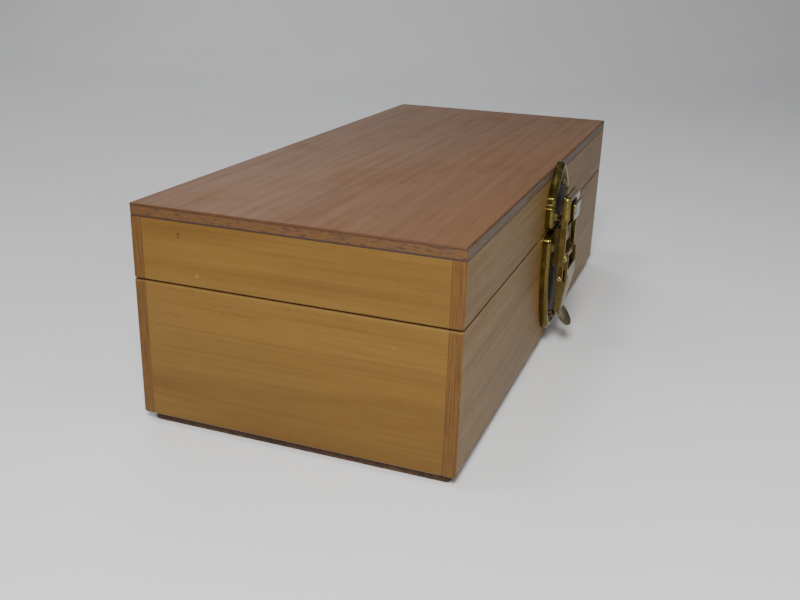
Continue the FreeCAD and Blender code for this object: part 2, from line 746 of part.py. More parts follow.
webOut = "(Sizes.pivotOut + Sizes.lugRadius)"
wall = "Sizes.sheetThickness"
past = "Sizes.lugRadius"                       # a little beyond the piece, for cuts
leverTop = f"({lugHigh} + {past})"
outerSide = sidePrism("leverOuterSide", [
    ("Sizes.leverFootInner", "Sizes.leverFoot"),
    ("Sizes.leverFootOut", "Sizes.leverFoot"),
    (webOut, "Sizes.leverKnee"),
    (webOut, "Sizes.pivotHeight", "Sizes.lugRadius"),
    ("Sizes.pivotOut", lugHigh, "Sizes.lugRadius"),
    ("Sizes.pivotOut - Sizes.lugRadius", "Sizes.pivotHeight"),
    ("Sizes.linkPinOut - Sizes.lugRadius", "Sizes.linkPinHeight"),
], "Sizes.leverHalfWidth")
innerSide = sidePrism("leverInnerSide", [
    (f"Sizes.leverFootInner - {past}", f"Sizes.leverFoot - {past}"),
    (f"Sizes.leverFootOut - {wall}", f"Sizes.leverFoot - {past}"),
    (f"Sizes.leverFootOut - {wall}", "Sizes.leverFoot"),
    (f"{webOut} - {wall}", "Sizes.leverKnee"),
    (f"{webOut} - {wall}", "Sizes.leverWebTop"),
    (f"{webOut} + {past}", "Sizes.leverWebTop"),
    (f"{webOut} + {past}", leverTop),
    (f"Sizes.leverFootInner - {past}", leverTop),
], "Sizes.leverHalfWidth")


def leverFront(name, inset):
    """The tapered outline of the lever seen from the front, or of its hollow, inset by the wall."""
    return frontPrism(name, [
        ("0", f"Sizes.leverFoot - {past}"),
        (f"Sizes.leverFootHalfWidth - {inset}", f"Sizes.leverFoot - {past}"),
        (f"Sizes.leverFootHalfWidth - {inset}", "Sizes.leverFoot"),
        (f"Sizes.leverHalfWidth - {inset}", "Sizes.leverKnee"),
        (f"Sizes.leverHalfWidth - {inset}", leverTop),
        ("0", leverTop),
    ], f"{webOut} + {past}")


tabTurn = Rotation(Vector(1, 0, 0), -90 - value("Sizes.tabTilt"))
tabRim = bind(doc.addObject("Part::Ellipse", "tabRim"), MajorRadius="Sizes.tabHalfWidth",
              MinorRadius="Sizes.tabHalfLength")
place(tabRim, "0", f"-({FRONT} + Sizes.tabOut)", f"{BASE_LOW} + Sizes.tabHeight", tabTurn)
tab = doc.addObject("Part::Extrusion", "thumbTab")
tab.Base, tab.DirMode, tab.Solid, tab.Dir = tabRim, "Custom", True, tabTurn.multVec(Vector(0, 0, 1))
bind(tab, LengthFwd=wall)

channel = cut("leverChannel", common("leverOuter", outerSide, leverFront("leverOuterFront", "0")),
              common("leverInner", innerSide, leverFront("leverInnerFront", wall)))
leverBores = fuse(
    "leverBores",
    pinAcross("leverPivotBore", "(Sizes.pivotPinRadius + Sizes.runningClearance)",
              "Sizes.linkHalfWidth", "Sizes.pivotOut", "Sizes.pivotHeight"),
    pinAcross("leverLinkBore", "Sizes.linkPinRadius", "Sizes.linkHalfWidth",
              "Sizes.linkPinOut", "Sizes.linkPinHeight"))
keep(cut("leverPiece", fuse("leverBlank", channel, tab), leverBores), "lever")


# ---------------------------------------------------------------- link

armInner = "(Sizes.linkPinOut - Sizes.armDepth / 2)"
armOuter = "(Sizes.linkPinOut + Sizes.armDepth / 2)"
armRound = "(Sizes.armDepth / 2)"
armLow = f"(Sizes.armEnd + {armRound})"
arms = sidePrism("linkArms", [
    (armInner, armLow, armRound),
    ("Sizes.linkPinOut", "Sizes.armEnd", armRound),
    (armOuter, armLow),
    (armOuter, "Sizes.rollHeight"),
    (armInner, "Sizes.rollHeight"),
], "Sizes.linkHalfWidth")
linkWindow = frontPrism("linkWindow", [
    ("0", f"Sizes.armEnd - {past}"),
    (f"Sizes.linkHalfWidth - {wall}", f"Sizes.armEnd - {past}"),
    (f"Sizes.linkHalfWidth - {wall}", f"Sizes.rollHeight + {past}"),
    ("0", f"Sizes.rollHeight + {past}"),
], f"{webOut} + {past}")
barSheet = sidePrism("linkBar", [
    (armInner, "Sizes.linkBarBottom"),
    (f"{armInner} + {wall}", "Sizes.linkBarBottom"),
    (f"{armInner} + {wall}", "Sizes.rollHeight"),
    (armInner, "Sizes.rollHeight"),
], "Sizes.linkHalfWidth")
roll = pinAcross("linkRoll", "Sizes.rollRadius", "Sizes.linkHalfWidth",
                 f"{armInner} + Sizes.rollRadius", "Sizes.rollHeight")
linkBlank = fuse("linkBlank", cut("linkArmPair", arms, linkWindow), barSheet, roll)
rivetBore = pinAcross("rivetBore", "Sizes.linkPinRadius", "Sizes.linkHalfWidth",
                      "Sizes.linkPinOut", "Sizes.linkPinHeight")
keep(cut("linkPiece", linkBlank, rivetBore), "link")

rivets = []
rivetY = f"-({FRONT} + Sizes.linkPinOut)"
rivetZ = f"{BASE_LOW} + Sizes.linkPinHeight"
for n, (shankAt, headAt) in enumerate((
        (f"Sizes.linkHalfWidth - {wall}", "Sizes.linkHalfWidth"),
        ("-Sizes.linkHalfWidth", "-Sizes.linkHalfWidth - Sizes.rivetHeadThickness"))):
    shank = cylinder(f"rivetShank{n}", "Sizes.linkPinRadius", wall, shankAt, rivetY, rivetZ, ALONG_X)
    head = cylinder(f"rivetHead{n}", "Sizes.rivetHeadRadius", "Sizes.rivetHeadThickness", headAt,
                    rivetY, rivetZ, ALONG_X)
    rivets.append(fuse(f"rivet{n}", shank, head))
keep(compound("linkRivets", rivets), "link_rivets")


# ---------------------------------------------------------------- check and write

doc.recompute()
failed = [thing.Name for thing in doc.Objects if {"Invalid", "Error"} & set(thing.State)]
if failed:
    raise RuntimeError(f"these objects failed: {failed}")
for thing in subParts:
    if thing.Shape.isNull() or not thing.Shape.isValid() or not thing.Shape.Solids:
        raise RuntimeError(f"{thing.Label} has no valid solid")
for thing in subParts:
    thing.Shape.exportStep(f"parts/{thing.Label}.step")
    box = thing.Shape.BoundBox
    print(f"{thing.Label:24s} solids {len(thing.Shape.Solids):2d}  volume {thing.Shape.Volume:10.1f}  "
          f"x {box.XMin:7.2f} {box.XMax:7.2f}  y {box.YMin:7.2f} {box.YMax:7.2f}  "
          f"z {box.ZMin:6.2f} {box.ZMax:6.2f}")
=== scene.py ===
import math

import bmesh
import bpy
import numpy as np
from mathutils import Matrix, Vector


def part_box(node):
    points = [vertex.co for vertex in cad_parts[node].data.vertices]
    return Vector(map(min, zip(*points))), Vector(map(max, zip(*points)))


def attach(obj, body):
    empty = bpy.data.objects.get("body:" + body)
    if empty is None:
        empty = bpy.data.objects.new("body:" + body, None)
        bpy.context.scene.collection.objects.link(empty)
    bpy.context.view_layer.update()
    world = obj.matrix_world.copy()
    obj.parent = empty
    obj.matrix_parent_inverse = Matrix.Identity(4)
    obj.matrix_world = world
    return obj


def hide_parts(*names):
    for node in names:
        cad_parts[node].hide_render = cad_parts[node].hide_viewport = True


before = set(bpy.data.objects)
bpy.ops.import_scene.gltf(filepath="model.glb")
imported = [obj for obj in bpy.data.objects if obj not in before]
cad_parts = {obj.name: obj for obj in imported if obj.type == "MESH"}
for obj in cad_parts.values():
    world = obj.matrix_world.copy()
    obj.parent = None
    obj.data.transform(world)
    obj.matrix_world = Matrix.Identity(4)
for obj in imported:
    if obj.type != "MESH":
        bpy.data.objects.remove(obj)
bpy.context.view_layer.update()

mm = 0.001
scene = bpy.context.scene


def boxOf(node):
    low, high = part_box(node)
    return np.array(low), np.array(high)


frontLow, frontHigh = boxOf("base_front_panel")
lidFoot = boxOf("lid_front_panel")[0][2]
carcass = dict(
    halfLength=frontHigh[0],
    front=-frontLow[1],                    # from the middle to the front face
    low=frontLow[2],
    baseTop=frontHigh[2],
    lidFoot=lidFoot,
    seam=(frontHigh[2] + lidFoot) / 2,
)


def outward(point):                        # (across, out, height) in mm on the catch, placed in metres
    point = np.asarray(point, float)
    across, out, height = point[..., 0], point[..., 1], point[..., 2]
    return np.stack([across * mm, -carcass["front"] - out * mm, carcass["low"] + height * mm], -1)


def catchBox(node):                        # a node's box as (across, out, height) in mm on the catch
    low, high = boxOf(node)
    near = np.array([low[0], -high[1] - carcass["front"], low[2] - carcass["low"]])
    far = np.array([high[0], -low[1] - carcass["front"], high[2] - carcass["low"]])
    return near / mm, far / mm


def ring(corners, radii, inset, steps=7):
    # the polygon's edges moved in by inset, each corner replaced by an arc of its radius less the inset
    c = np.asarray(corners, float)
    r = np.broadcast_to(np.asarray(radii, float), len(c))
    into = c - np.roll(c, 1, 0)
    into = into / np.linalg.norm(into, axis=1, keepdims=True)
    onward = np.roll(into, -1, 0)
    right1 = np.stack([into[:, 1], -into[:, 0]], 1)
    right2 = np.stack([onward[:, 1], -onward[:, 0]], 1)
    turn = np.arctan2(into[:, 0] * onward[:, 1] - into[:, 1] * onward[:, 0], (into * onward).sum(1))
    c = c - (right1 + right2) * (inset / (1 + np.cos(turn)))[:, None]
    least = 0.02 * r                       # an outer corner never loses its arc altogether
    r = np.where(turn > 0, np.maximum(r - inset, least), r + inset)
    back = r * np.tan(np.abs(turn) / 2)
    side = np.sign(turn)
    start = c - into * back[:, None]
    centre = start - right1 * (side * r)[:, None]
    angle = turn[:, None] * np.linspace(0, 1, steps)
    cos, sin = np.cos(angle), np.sin(angle)
    nx = right1[:, :1] * cos - right1[:, 1:] * sin
    ny = right1[:, :1] * sin + right1[:, 1:] * cos
    reach = (side * r)[:, None]
    points = np.stack([centre[:, :1] + nx * reach, centre[:, 1:] + ny * reach], -1)
    return points.reshape(-1, 2)


def tube(rings):
    # rings of equal length joined in order by quads, closed by one face at each end
    rings = np.asarray(rings, float)
    count, around = rings.shape[:2]
    i, j = np.meshgrid(np.arange(count - 1), np.arange(around), indexing="ij")
    k = (j + 1) % around
    quads = np.stack([i * around + j, i * around + k, (i + 1) * around + k, (i + 1) * around + j], -1)
    faces = quads.reshape(-1, 4).tolist()
    faces.append(list(range(around))[::-1])
    faces.append(list(range((count - 1) * around, count * around)))
    return rings.reshape(-1, 3), faces


def prism(corners, radii, low, high, lowRound, highRound, lay, steps=5):
    # the outline carried from low to high, drawn in along a quarter circle at both ends
    t = np.linspace(0, math.pi / 2, steps)
    insets = np.concatenate([lowRound * (1 - np.sin(t)), highRound * (1 - np.sin(t[::-1]))])
    rising = low + lowRound * (1 - np.cos(t))
    closing = high - highRound * (1 - np.cos(t[::-1]))
    levels = np.concatenate([rising, closing])
    return tube([lay(ring(corners, radii, inset), level) for inset, level in zip(insets, levels)])


def layUp(points, level):                  # outline in plan, carried up
    return np.column_stack([points, np.full(len(points), level)])


def layAcross(points, level):              # outline as (out, height) in mm, carried along X
    return outward(np.column_stack([np.full(len(points), level), points]))


def layOut(points, level):                 # outline as (across, height) in mm, carried out of the front
    return outward(np.column_stack([points[:, 0], np.full(len(points), level), points[:, 1]]))


def rectangle(low, high):                  # the four corners of a box's plan
    return [(low[0], low[1]), (high[0], low[1]), (high[0], high[1]), (low[0], high[1])]


def strip(path, halfWidth, thickness, edge=0.3, steps=5):
    # a rounded flat section carried along a path of (out, height), standing square to it
    path = np.asarray(path, float)
    halfWidth = np.broadcast_to(halfWidth, len(path))[:, None]
    tangent = np.gradient(path, axis=0)
    tangent /= np.linalg.norm(tangent, axis=1, keepdims=True)
    square = np.stack([-tangent[:, 1], tangent[:, 0]], 1)
    quarter = np.linspace(0, math.pi / 2, steps)
    angle = np.concatenate([quarter + n * math.pi / 2 for n in range(4)])
    sideX = np.repeat([1, -1, -1, 1], steps)
    sideN = np.repeat([1, 1, -1, -1], steps)
    corner = edge * thickness
    across = sideX * (halfWidth - corner) + corner * np.cos(angle)
    lift = sideN * (thickness / 2 - corner) + corner * np.sin(angle)
    section = path[:, None, :] + square[:, None, :] * lift[None, :, None]
    return tube(outward(np.concatenate([across[..., None], section], -1)))


meshing = dict(weld=0.002 * mm, sharpAngle=38)


def piece(name, shells, body, nodes, finish):
    # one object from several closed shells, with its normals outward
    points, faces, start = [], [], 0
    for shellPoints, shellFaces in shells:
        points.append(shellPoints)
        faces += [[v + start for v in face] for face in shellFaces]
        start += len(shellPoints)
    mesh = bpy.data.meshes.new(name)
    mesh.from_pydata(np.concatenate(points).tolist(), [], faces)
    work = bmesh.new()
    work.from_mesh(mesh)
    bmesh.ops.remove_doubles(work, verts=work.verts, dist=meshing["weld"])
    bmesh.ops.recalc_face_normals(work, faces=work.faces)
    work.to_mesh(mesh)
    work.free()
    mesh.shade_smooth()
    mesh.set_sharp_from_angle(angle=math.radians(meshing["sharpAngle"]))
    thing = bpy.data.objects.new(name, mesh)
    scene.collection.objects.link(thing)
    even = thing.modifiers.new("evenShading", "WEIGHTED_NORMAL")
    even.keep_sharp = True
    mesh.materials.append(finish.material)
    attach(thing, body)
    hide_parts(*nodes)


class Wire:                                # one output socket that can be used in sums
    def __init__(self, socket):
        self.socket = socket

    def sum(self, operation, *others):
        tree = self.socket.id_data
        maths = tree.nodes.new("ShaderNodeMath")
        maths.operation = operation
        for slotIn, given in zip(maths.inputs, (self,) + others):
            plug(tree, given, slotIn)
        return Wire(maths.outputs[0])

    def __add__(self, other):
        return self.sum("ADD", other)

    def __radd__(self, other):
        return self.sum("ADD", other)

    def __sub__(self, other):
        return self.sum("SUBTRACT", other)

    def __rsub__(self, other):
        return (self * -1.0).sum("ADD", other)

    def __mul__(self, other):
        return self.sum("MULTIPLY", other)

    def __rmul__(self, other):
        return self.sum("MULTIPLY", other)

    def __abs__(self):
        return self.sum("ABSOLUTE")

    def least(self, other):
        return self.sum("MINIMUM", other)

    def most(self, other):
        return self.sum("MAXIMUM", other)


def plug(tree, given, slotIn):
    if isinstance(given, Wire):
        tree.links.new(given.socket, slotIn)
    elif given is not None:
        slotIn.default_value = given


class Finish:                              # one material and the nodes it is made of
    def __init__(self, name):
        self.material = bpy.data.materials.new(name)
        self.material.use_nodes = True
        self.tree = self.material.node_tree
        self.shader = self.tree.nodes["Principled BSDF"]
        self.place = self.node("ShaderNodeTexCoord", out="Object")
        self.x, self.y, self.z = (
            self.node("ShaderNodeSeparateXYZ", {}, {"Vector": self.place}, out=axis) for axis in "XYZ")

    def node(self, kind, settings={}, sockets={}, out=0):
        made = self.tree.nodes.new(kind)
        for key, setting in settings.items():
            setattr(made, key, setting)
        for key, given in sockets.items():
            plug(self.tree, given, made.inputs[key])
        return Wire(made.outputs[out])

    def noise(self, scale, shift=(0, 0, 0), detail=3.0, rough=0.55, warp=0.0):
        # noise that repeats scale times a metre along each axis, moved by shift
        stretched = self.node("ShaderNodeVectorMath", {"operation": "MULTIPLY_ADD"},
                              {0: self.place, 1: scale, 2: shift})
        return self.node("ShaderNodeTexNoise", {}, {
            "Vector": stretched, "Scale": 1.0, "Detail": detail, "Roughness": rough, "Distortion": warp})

    def ease(self, wire, low, high, toLow=0.0, toHigh=1.0):
        # a smooth step: as wire goes from low to high, the result goes from toLow to toHigh
        return self.node("ShaderNodeMapRange", {"interpolation_type": "SMOOTHSTEP"}, {
            "Value": wire, "From Min": low, "From Max": high, "To Min": toLow, "To Max": toHigh})

    def mix(self, factor, a, b):
        return self.node("ShaderNodeMix", {"data_type": "RGBA"}, {0: factor, 6: a, 7: b}, out=2)

    def away(self, centre):                # the distance from a place on the object
        return self.node("ShaderNodeVectorMath", {"operation": "DISTANCE"},
                         {0: self.place, 1: centre}, out="Value")

    def dress(self, **sockets):
        for key, given in sockets.items():
            plug(self.tree, given, self.shader.inputs[key.replace("_", " ")])

    def bump(self, height, distance, strength=1.0):
        self.dress(Normal=self.node("ShaderNodeBump", {}, {
            "Height": height, "Distance": distance, "Strength": strength}))


def paint(red, green, blue):               # a colour as it is seen, turned into light
    seen = np.array([red, green, blue]) / 255
    light = np.where(seen <= 0.04045, seen / 12.92, ((seen + 0.055) / 1.055) ** 2.4)
    return (*light.tolist(), 1.0)


goldWood = dict(
    pale=paint(112, 83, 29),
    deep=paint(99, 70, 19),
    streak=paint(81, 52, 12),
    fleck=paint(62, 36, 12),
    endGrain=paint(102, 71, 22),
    endDark=paint(77, 48, 15),
    endRed=paint(92, 52, 17),
    # grime on the arrises, also the painted shade in the seam between lid and base
    dirtAndShade=paint(44, 26, 12),
    # the pale of small dings, also used for the painted highlight along the base's upper arris
    dingAndHighlight=paint(132, 100, 50),
    broad=(160, 14),                       # each pattern's length along the grain and width, in mm
    streaks=(60, 1.3),
    hairs=(26, 0.28),
    flecks=(3.2, 0.42),
    gather=(40, 22),                       # where the flecks gather
    endLines=(300, 2400, 60),              # how often the end grain's patterns repeat, per metre
    endBlotch=(200, 160, 420),
    wobble=(240, 240, 240),
    rub=(90, 90, 90),
    deepShare=(0.3, 0.7),                  # each share: a pattern's value from and to, the cover from and to
    streakShare=(0.42, 0.78, 0.0, 0.4),
    hairShare=(0.5, 0.85, 0.0, 0.22),
    fleckShare=(0.63, 0.74),
    gatherShare=(0.45, 0.62),
    endDarkShare=(0.35, 0.7),
    endRedShare=(0.48, 0.72, 0.0, 0.7),
    rubShare=(0.6, 0.78),
    grime=(0.4 * mm, 1.1 * mm, 0.45, 0.0),            # by the distance from an arris
    seamShade=(0.15 * mm, 0.4 * mm, 0.6, 0.0),         # painted shade in the seam, by the distance from the seam
    highlightStart=(0.3 * mm, 0.5 * mm),                    # the painted highlight line below the seam
    highlightEnd=(0.6 * mm, 1.0 * mm, 1.0, 0.0),
    coat=(0.3, 0.7, 0.04, 0.14),
    roughness=(0.3, 0.8, 0.48, 0.6),
    relief=0.03 * mm,
)


def edgeDistance(finish, low, high):
    # how far a point of a box's skin is from its nearest arris: the middle one of its three distances
    near = [(axis - lowest).least(highest - axis)
            for axis, lowest, highest in zip((finish.x, finish.y, finish.z), low, high)]
    smaller, larger = near[0].least(near[1]), near[0].most(near[1])
    return smaller.most(larger.least(near[2]))


def panelWood(name, grain, low, high, shift, marks):
    # fine streaks and short flecks drawn out along the grain, darker reddish end grain on the two ends
    f = Finish(name)
    look = goldWood

    def along(pattern, *detail):           # noise with the pattern's length on the grain's axis
        length, width = look[pattern]
        scale = [1000 / width] * 3
        scale[grain] = 1000 / length
        return f.noise(scale, shift, *detail)

    broad = along("broad", 2.0, 0.5, 0.6)
    streaks = along("streaks", 5.0, 0.62, 0.25)
    hairs = along("hairs", 3.0, 0.7)
    flecks = f.ease(along("flecks", 2.0, 0.5), *look["fleckShare"])
    gather = f.ease(along("gather", 1.0), *look["gatherShare"])
    colour = f.mix(f.ease(broad, *look["deepShare"]), look["pale"], look["deep"])
    colour = f.mix(f.ease(streaks, *look["streakShare"]), colour, look["streak"])
    colour = f.mix(f.ease(hairs, *look["hairShare"]), colour, look["streak"])
    colour = f.mix(flecks * (0.15 + 0.35 * gather), colour, look["fleck"])
    height = 0.5 * hairs + 0.4 * streaks - 0.7 * flecks
    if grain == 0:                         # the ends of a long panel are cut across the grain
        end = carcass["halfLength"]
        onEnd = f.ease(abs(f.x), end - 0.5 * mm, end - 0.15 * mm)
        lines = f.noise(look["endLines"], shift, 3.0, 0.6)
        blotch = f.noise(look["endBlotch"], shift, 3.0, 0.6)
        cross = f.mix(f.ease(lines, *look["endDarkShare"]), look["endGrain"], look["endDark"])
        cross = f.mix(f.ease(blotch, *look["endRedShare"]), cross, look["endRed"])
        colour = f.mix(onEnd, colour, cross)
    wobble = f.noise(look["wobble"], shift)
    rub = f.ease(f.noise(look["rub"], shift, 4.0, 0.65), *look["rubShare"])
    grime = f.ease(edgeDistance(f, low, high) + wobble * 0.9 * mm, *look["grime"])
    seamShade = f.ease(abs(f.z - carcass["seam"]), *look["seamShade"])
    # grime darkens the arrises, and painted shade darkens the seam between lid and base
    colour = f.mix(grime.most(seamShade) * (1.0 - 0.7 * rub), colour, look["dirtAndShade"])
    below = carcass["seam"] - f.z          # painted highlight: the eased upper arris of the base is made pale, as if it caught the light
    lip = f.ease(below, *look["highlightStart"]) * f.ease(below, *look["highlightEnd"])
    colour = f.mix(lip * (0.5 + 0.4 * rub), colour, look["dingAndHighlight"])
    for kind, across, up, radius in marks:
        away = f.away((-carcass["halfLength"], across * mm, up * mm))
        mark = f.ease(away + 0.4 * mm * wobble, 0.5 * radius * mm, radius * mm, 0.8, 0.0)
        colour = f.mix(mark, colour, look[kind])
    f.dress(Base_Color=colour, Coat_Weight=f.ease(wobble, *look["coat"]), Coat_Roughness=0.2)
    f.dress(Roughness=f.ease(streaks, *look["roughness"]), IOR=1.45, Specular_IOR_Level=0.35)
    f.bump(height, look["relief"], 0.7)
    return f


print("wood finishes")
veneerLow, veneerHigh = boxOf("lid_top_face_veneer")
outerLow = np.array([-carcass["halfLength"], -carcass["front"], carcass["low"]])
outerHigh = -outerLow
baseSkin = (outerLow, np.array([outerHigh[0], outerHigh[1], carcass["baseTop"]]))
lidSkin = (np.array([outerLow[0], outerLow[1], carcass["lidFoot"]]),
           np.array([outerHigh[0], outerHigh[1], veneerHigh[2]]))

panels = {                                 # body, axis of the grain, skin, shift of the grain
    "base_front_panel": ("base", 0, baseSkin, (0.3, 1.7, 4.2)),
    "base_back_panel": ("base", 0, baseSkin, (7.3, 3.1, 9.2)),
    "base_left_end": ("base", 1, baseSkin, (2.9, 5.5, 1.4)),
    "base_right_end": ("base", 1, baseSkin, (8.1, 2.2, 6.6)),
    "lid_front_panel": ("lid", 0, lidSkin, (4.4, 1.9, 4.6)),
    "lid_back_panel": ("lid", 0, lidSkin, (9.7, 6.4, 3.3)),
    "lid_left_end": ("lid", 1, lidSkin, (2.7, 5.9, 2.8)),
    "lid_right_end": ("lid", 1, lidSkin, (6.5, 8.8, 7.1)),
}
smallMarks = {                             # colour, place across, height and radius in mm
    "lid_left_end": [("fleck", 36.0, 65.3, 0.9), ("fleck", 36.2, 64.2, 0.7), ("dingAndHighlight", 30.3, 52.9, 1.1)],
    "base_left_end": [("dingAndHighlight", -33.0, 41.0, 0.9)],
}
easing = dict(arris=0.9 * mm, inner=0.3 * mm, joint=0.12 * mm, seam=0.45 * mm, foot=1.1 * mm)


def panelOutline(name):
    # a long panel's plan is stepped at both ends where the short panels sit, a short panel's is plain
    low, high = boxOf(name)
    if name.endswith("_end"):
        return rectangle(low, high), [easing["joint"]] * 4
    side = -1 if "front" in name else 1
    endPanel = boxOf("base_left_end")[1]
    face, inner = side * carcass["front"], high[1] if side < 0 else low[1]
    neck, shoulder = -endPanel[0], side * endPanel[1]
    end = carcass["halfLength"]
    corners = [(-end, face), (end, face), (end, shoulder), (neck, shoulder),
               (neck, inner), (-neck, inner), (-neck, shoulder), (-end, shoulder)]
    radii = [easing["arris"]] * 2 + [easing["joint"]] * 2 + [easing["inner"]] * 2 + [easing["joint"]] * 2
    return (corners, radii) if side < 0 else (corners[::-1], radii[::-1])


for name, (body, grain, skin, shift) in panels.items():
    low, high = boxOf(name)
    feet = (easing["foot"], easing["seam"]) if body == "base" else (easing["seam"], easing["joint"])
    wood = panelWood(name + "Wood", grain, *skin, shift, smallMarks.get(name, []))
    shell = prism(*panelOutline(name), low[2], high[2], *feet, layUp)
    piece(name + "_wood", [shell], body, [name], wood)


topLook = dict(
    pale=paint(102, 65, 22),
    deep=paint(85, 51, 16),
    pore=paint(57, 32, 13),
    scuff=paint(118, 84, 45),
    broad=(6, 36, 40),                     # how often each pattern repeats along, across and up, per metre
    ribbon=(16, 420, 60),
    pores=(210, 2600, 400),
    dashes=(90, 1300, 200),
    scratch=(40, 900, 100),
    patch=(26, 34, 20),
    wobble=(300, 300, 300),
    deepShare=(0.25, 0.75, 0.15, 0.6),
    ribbonShare=(0.4, 0.75, 0.0, 0.6),
    poreShare=(0.56, 0.7),
    dashShare=(0.6, 0.74),
    scratchShare=(0.68, 0.76),
    patchShare=(0.4, 0.8),
    wornRim=(0.5 * mm, 1.3 * mm, 0.6, 0.0),
    dot=(-37.5 * mm, 26.6 * mm, 73 * mm),  # a small dark spot and where it fades
    dotEdge=(0.5 * mm, 1.0 * mm, 0.85, 0.0),
    coat=(0.0, 1.0, 0.1, 0.03),
    roughness=(0.3, 0.8, 0.5, 0.62),
    relief=0.04 * mm,
)
plyLook = dict(
    core=paint(92, 58, 9),
    coreFibre=paint(72, 42, 7),
    coreFleck=paint(52, 28, 9),
    glue=paint(50, 27, 12),
    grey=paint(84, 66, 38),
    greyFibre=paint(64, 48, 28),
    flecks=(700, 480, 1700),
    fibre=(240, 300, 3200),
    innerGrain=(30, 900, 900),
    fleckShare=(0.5, 0.64),
    fibreShare=(0.35, 0.7, 0.0, 0.5),
    greyShare=(0.4, 0.65),
    grainShare=(0.35, 0.75),
    glueLine=(0.12 * mm, 0.4 * mm, 0.85, 0.0),        # dark just under the face veneer
    longBand=(0.4 * mm, 0.1 * mm),         # how far in a cut edge starts and is full
    edgeBand=(1.2 * mm, 0.5 * mm),
    innerRim=(0.3 * mm, 1.2 * mm),
    relief=0.09 * mm,
)


def topVeneer(name):
    # reddish veneer with short dark pores along the box, dull scuffs and a darker worn rim
    f = Finish(name)
    look = topLook
    broad = f.noise(look["broad"], (3.0, 1.0, 0.0), 3.0, 0.55, 0.3)
    ribbon = f.noise(look["ribbon"], (1.0, 6.0, 0.0), 4.0, 0.6, 0.3)
    pores = f.ease(f.noise(look["pores"], (0.0, 2.0, 0.0), 2.0, 0.6), *look["poreShare"])
    dashes = f.ease(f.noise(look["dashes"], (5.0, 2.0, 0.0), 2.0, 0.5), *look["dashShare"])
    colour = f.mix(f.ease(broad, *look["deepShare"]), look["pale"], look["deep"])
    colour = f.mix(f.ease(ribbon, *look["ribbonShare"]), colour, look["deep"])
    colour = f.mix((0.45 * pores).most(0.55 * dashes), colour, look["pore"])
    scratch = f.ease(f.noise(look["scratch"], (8.0, 4.0, 0.0), 2.0, 0.5, 1.5), *look["scratchShare"])
    patch = f.ease(f.noise(look["patch"], (2.0, 9.0, 0.0), 3.0, 0.6), *look["patchShare"])
    colour = f.mix(scratch * patch * 0.55, colour, look["scuff"])
    wobble = f.noise(look["wobble"])
    rim = f.ease(edgeDistance(f, *lidSkin) + wobble * 0.8 * mm, *look["wornRim"])
    colour = f.mix(rim, colour, plyLook["glue"])
    dot = f.ease(f.away(look["dot"]), *look["dotEdge"])
    colour = f.mix(dot, colour, plyLook["glue"])
    f.dress(Base_Color=colour, Roughness=f.ease(ribbon, *look["roughness"]) + 0.05 * patch)
    f.dress(Coat_Weight=f.ease(patch, *look["coat"]), Coat_Roughness=0.28)
    f.dress(IOR=1.45, Specular_IOR_Level=0.35)
    f.bump(0.5 * ribbon - 0.6 * pores - 0.8 * dashes, look["relief"], 0.8)
    return f


def plyEdge(name, isCore):
    # the cut edge of the core: golden with dark flecks on the ends, greyer and rough along the front
    f = Finish(name)
    look = plyLook
    front, end = carcass["front"], carcass["halfLength"]
    fleck = f.ease(f.noise(look["flecks"], (1.0, 2.0, 3.0), 3.0, 0.6), *look["fleckShare"])
    fibre = f.noise(look["fibre"], (2.0, 0.0, 1.0), 3.0, 0.6)
    if isCore:
        start, full = look["longBand"]
        colour = f.mix(f.ease(fibre, *look["fibreShare"]), look["core"], look["coreFibre"])
        colour = f.mix(fleck * 0.75, colour, look["coreFleck"])
        onLong = f.ease(abs(f.y), front - start, front - full)
        rough = f.mix(f.ease(fibre, *look["greyShare"]), look["grey"], look["greyFibre"])
        colour = f.mix(onLong * 0.75, colour, rough)
    else:                                  # the back ply: dark where its edge shows, plain inside the lid
        start, full = look["edgeBand"]
        grain = f.ease(f.noise(look["innerGrain"], (6.0, 1.0, 2.0), 4.0, 0.6), *look["grainShare"])
        inside = f.mix(grain, topLook["pale"], topLook["deep"])
        rim = f.ease(edgeDistance(f, *lidSkin), *look["innerRim"])
        onEdge = f.ease(abs(f.x), end - start, end - full).most(
            f.ease(abs(f.y), front - start, front - full))
        colour = f.mix(onEdge.most((1.0 - rim) * 0.5), inside, look["glue"])
    glue = f.ease(veneerLow[2] - f.z, *look["glueLine"])
    f.dress(Base_Color=f.mix(glue, colour, look["glue"]), Roughness=0.6, Coat_Weight=0.12)
    f.bump(fibre - fleck, look["relief"], 0.9)
    return f


print("plywood top")
plies = {                                  # finish, slot, shrink, lower and upper rounding
    "lid_top_face_veneer": (topVeneer("topVeneer"), "top_veneer", 0.0, 0.1 * mm, 0.42 * mm),
    "lid_top_core": (plyEdge("plyCore", True), "ply_core", 0.06 * mm, 0.05 * mm, 0.05 * mm),
    "lid_top_back_veneer": (plyEdge("plyBack", False), "ply_back", 0.1 * mm, 0.05 * mm, 0.05 * mm),
}
plyCorner = 0.8 * mm
for name, (finish, slot, shrink, lowRound, highRound) in plies.items():
    low, high = boxOf(name)
    plan = rectangle(low + shrink, high - shrink)
    shell = prism(plan, plyCorner, low[2], high[2], lowRound, highRound, layUp)
    piece(name + "_ply", [shell], "lid", [name], finish)

board = dict(
    pale=paint(62, 42, 28),
    deep=paint(92, 64, 42),
    stain=paint(44, 30, 22),
    fibre=(500, 500, 500),
    patch=(40, 40, 40),
    deepShare=(0.35, 0.7),
    stainShare=(0.4, 0.7, 0.0, 0.5),
    relief=0.08 * mm,
    corner=1.2 * mm,
    lowRound=0.35 * mm,
    highRound=0.1 * mm,
)


